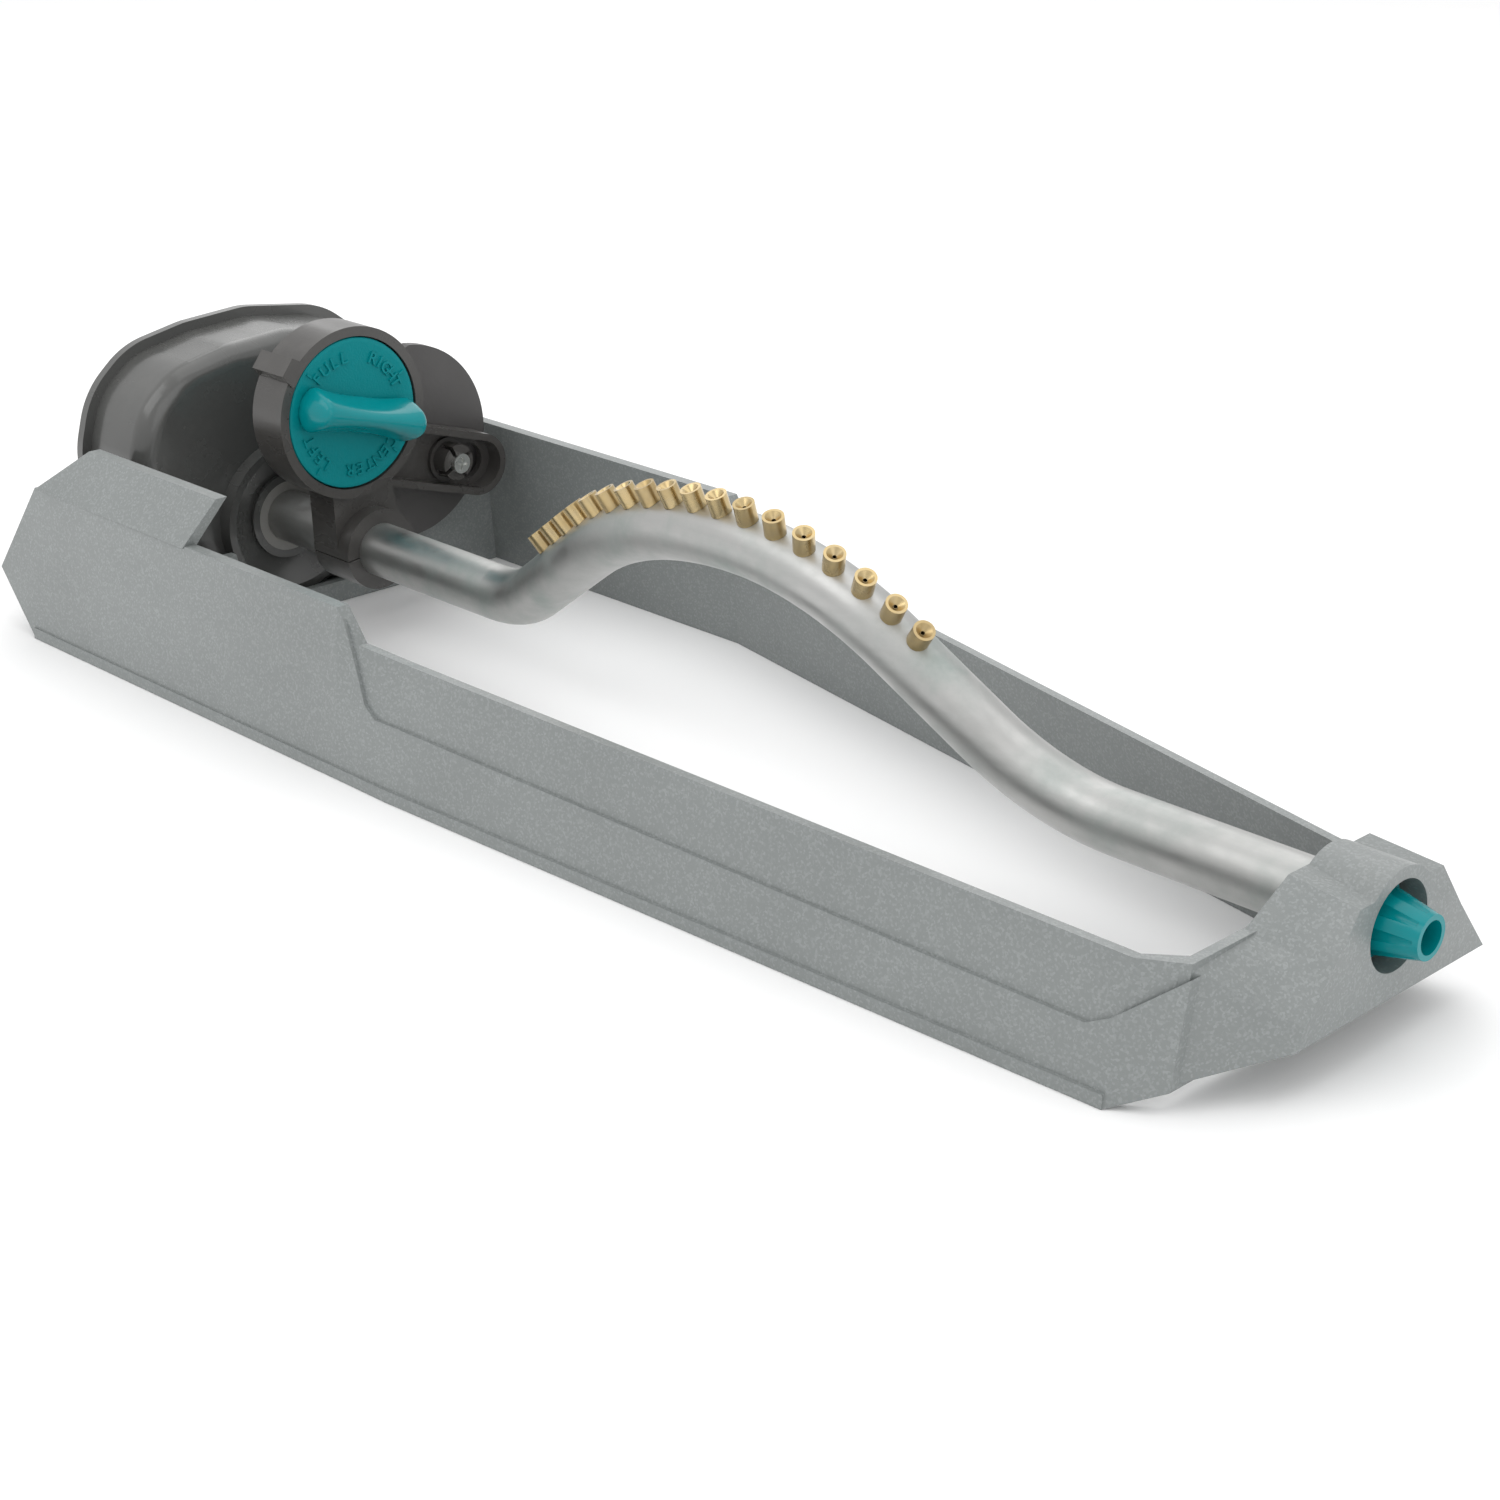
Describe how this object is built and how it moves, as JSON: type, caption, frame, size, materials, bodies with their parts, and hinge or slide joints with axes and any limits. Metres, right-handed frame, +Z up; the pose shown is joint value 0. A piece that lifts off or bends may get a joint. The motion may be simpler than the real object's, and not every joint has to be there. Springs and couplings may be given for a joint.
{
  "type": "oscillating lawn sprinkler",
  "caption": "Oscillating lawn sprinkler: a tapered plastic frame, a water motor with range dial and link, and an arched metal spray tube that swings about the long axis.",
  "frame": {"origin": "on the ground below the swing axis, midway along the moulded frame", "axes": "+X from the motor end to the plug end along the swing axis, +Y to the side away from the long straight rail's outer face, +Z up"},
  "size_m": [0.4918, 0.1536, 0.0965],
  "materials": {
    "frame_plastic": "satin with fine metallic flake",
    "housing_plastic": "glossy",
    "zinc": "bright",
    "steel": "ground",
    "gear_plastic": "natural acetal",
    "bush_plastic": "natural acetal",
    "seal_rubber": "matt",
    "tube_metal": "bare, mottled",
    "nozzle_brass": "turned",
    "lever_plastic": "semi-gloss",
    "dial_plastic": "semi-gloss"
  },
  "bodies": {
    "frame": {"frame": "frame_plastic", "motor_housing": "housing_plastic", "end_plate": "housing_plastic", "rear_shell": "housing_plastic", "plate_screws": "zinc", "deck_screws": "zinc", "gear_pins": "steel", "jet_ring": "gear_plastic", "tube_bush": "bush_plastic", "tube_o_ring": "seal_rubber", "shaft_seal": "seal_rubber", "end_bush": "bush_plastic", "hose_washer": "seal_rubber", "filter_screen": "steel"},
    "spray_tube": {"spray_tube": "tube_metal", "nozzles": "nozzle_brass", "tube_collar": "bush_plastic", "tube_lever": "lever_plastic", "clamp_cap": "lever_plastic"},
    "crank": {"crank_disc": "lever_plastic", "slot_boss": "lever_plastic", "boss_screw": "zinc", "output_gear": "gear_plastic", "output_shaft": "steel"},
    "second_gear": {"second_gear": "gear_plastic"},
    "first_gear": {"first_gear": "gear_plastic"},
    "turbine": {"turbine_wheel": "gear_plastic", "turbine_shaft": "steel", "turbine_pinion": "gear_plastic"},
    "dial": {"dial": "dial_plastic", "dial_clip": "lever_plastic"},
    "link": {"link_arm": "lever_plastic", "link_pin": "steel"},
    "plug_seal": {"plug_seal": "seal_rubber"},
    "end_plug": {"end_plug": "dial_plastic"},
    "swivel_nut": {"swivel_nut": "housing_plastic"}
  },
  "joints": [
    {"name": "tube_swing", "type": "hinge", "parent": "frame", "child": "spray_tube", "pos_m": [0, 0, 0.029], "axis": [1, 0, 0], "range_deg": [-15, 35]},
    {"name": "crank_turn", "type": "hinge", "parent": "frame", "child": "crank", "pos_m": [-0.16285, 0.033, 0.0495], "axis": [1, 0, 0], "range_deg": [-71, 31]},
    {"name": "second_gear_turn", "type": "hinge", "parent": "frame", "child": "second_gear", "pos_m": [-0.17785, 0.01334, 0.05665], "axis": [1, 0, 0], "range_deg": [-101, 234.33]},
    {"name": "first_gear_turn", "type": "hinge", "parent": "frame", "child": "first_gear", "pos_m": [-0.18285, -0.0059, 0.05834], "axis": [1, 0, 0], "range_deg": [-701, 301]},
    {"name": "turbine_turn", "type": "hinge", "parent": "frame", "child": "turbine", "pos_m": [-0.19285, -0.01832, 0.04354], "axis": [1, 0, 0], "range_deg": [-901, 2101]},
    {"name": "dial_turn", "type": "hinge", "parent": "spray_tube", "child": "dial", "pos_m": [-0.12285, -0.00501, 0.071], "axis": [1, 0, 0], "continuous": true},
    {"name": "link_swing", "type": "hinge", "parent": "crank", "child": "link", "pos_m": [-0.13785, 0.04426, 0.043], "axis": [1, 0, 0], "range_deg": [-28.75, 65.75]},
    {"name": "plug_slide", "type": "slide", "parent": "spray_tube", "child": "plug_seal", "axis": [1, 0, 0], "range_m": [0, 0.012]},
    {"name": "plug_turn", "type": "hinge", "parent": "plug_seal", "child": "end_plug", "pos_m": [0.23715, 0, 0.029], "axis": [1, 0, 0], "range_deg": [-2161, 1]},
    {"name": "nut_turn", "type": "hinge", "parent": "frame", "child": "swivel_nut", "pos_m": [-0.23285, 0, 0.029], "axis": [1, 0, 0], "continuous": true}
  ],
  "couplings": [
    {"joint": "crank_turn", "follows": "tube_swing", "ratio": -2},
    {"joint": "second_gear_turn", "follows": "tube_swing", "ratio": 6.6667},
    {"joint": "first_gear_turn", "follows": "tube_swing", "ratio": -20},
    {"joint": "turbine_turn", "follows": "tube_swing", "ratio": 60},
    {"joint": "link_swing", "follows": "tube_swing", "ratio": 1.85},
    {"joint": "plug_turn", "follows": "plug_slide", "rad_per_m": -3141.6}
  ]
}
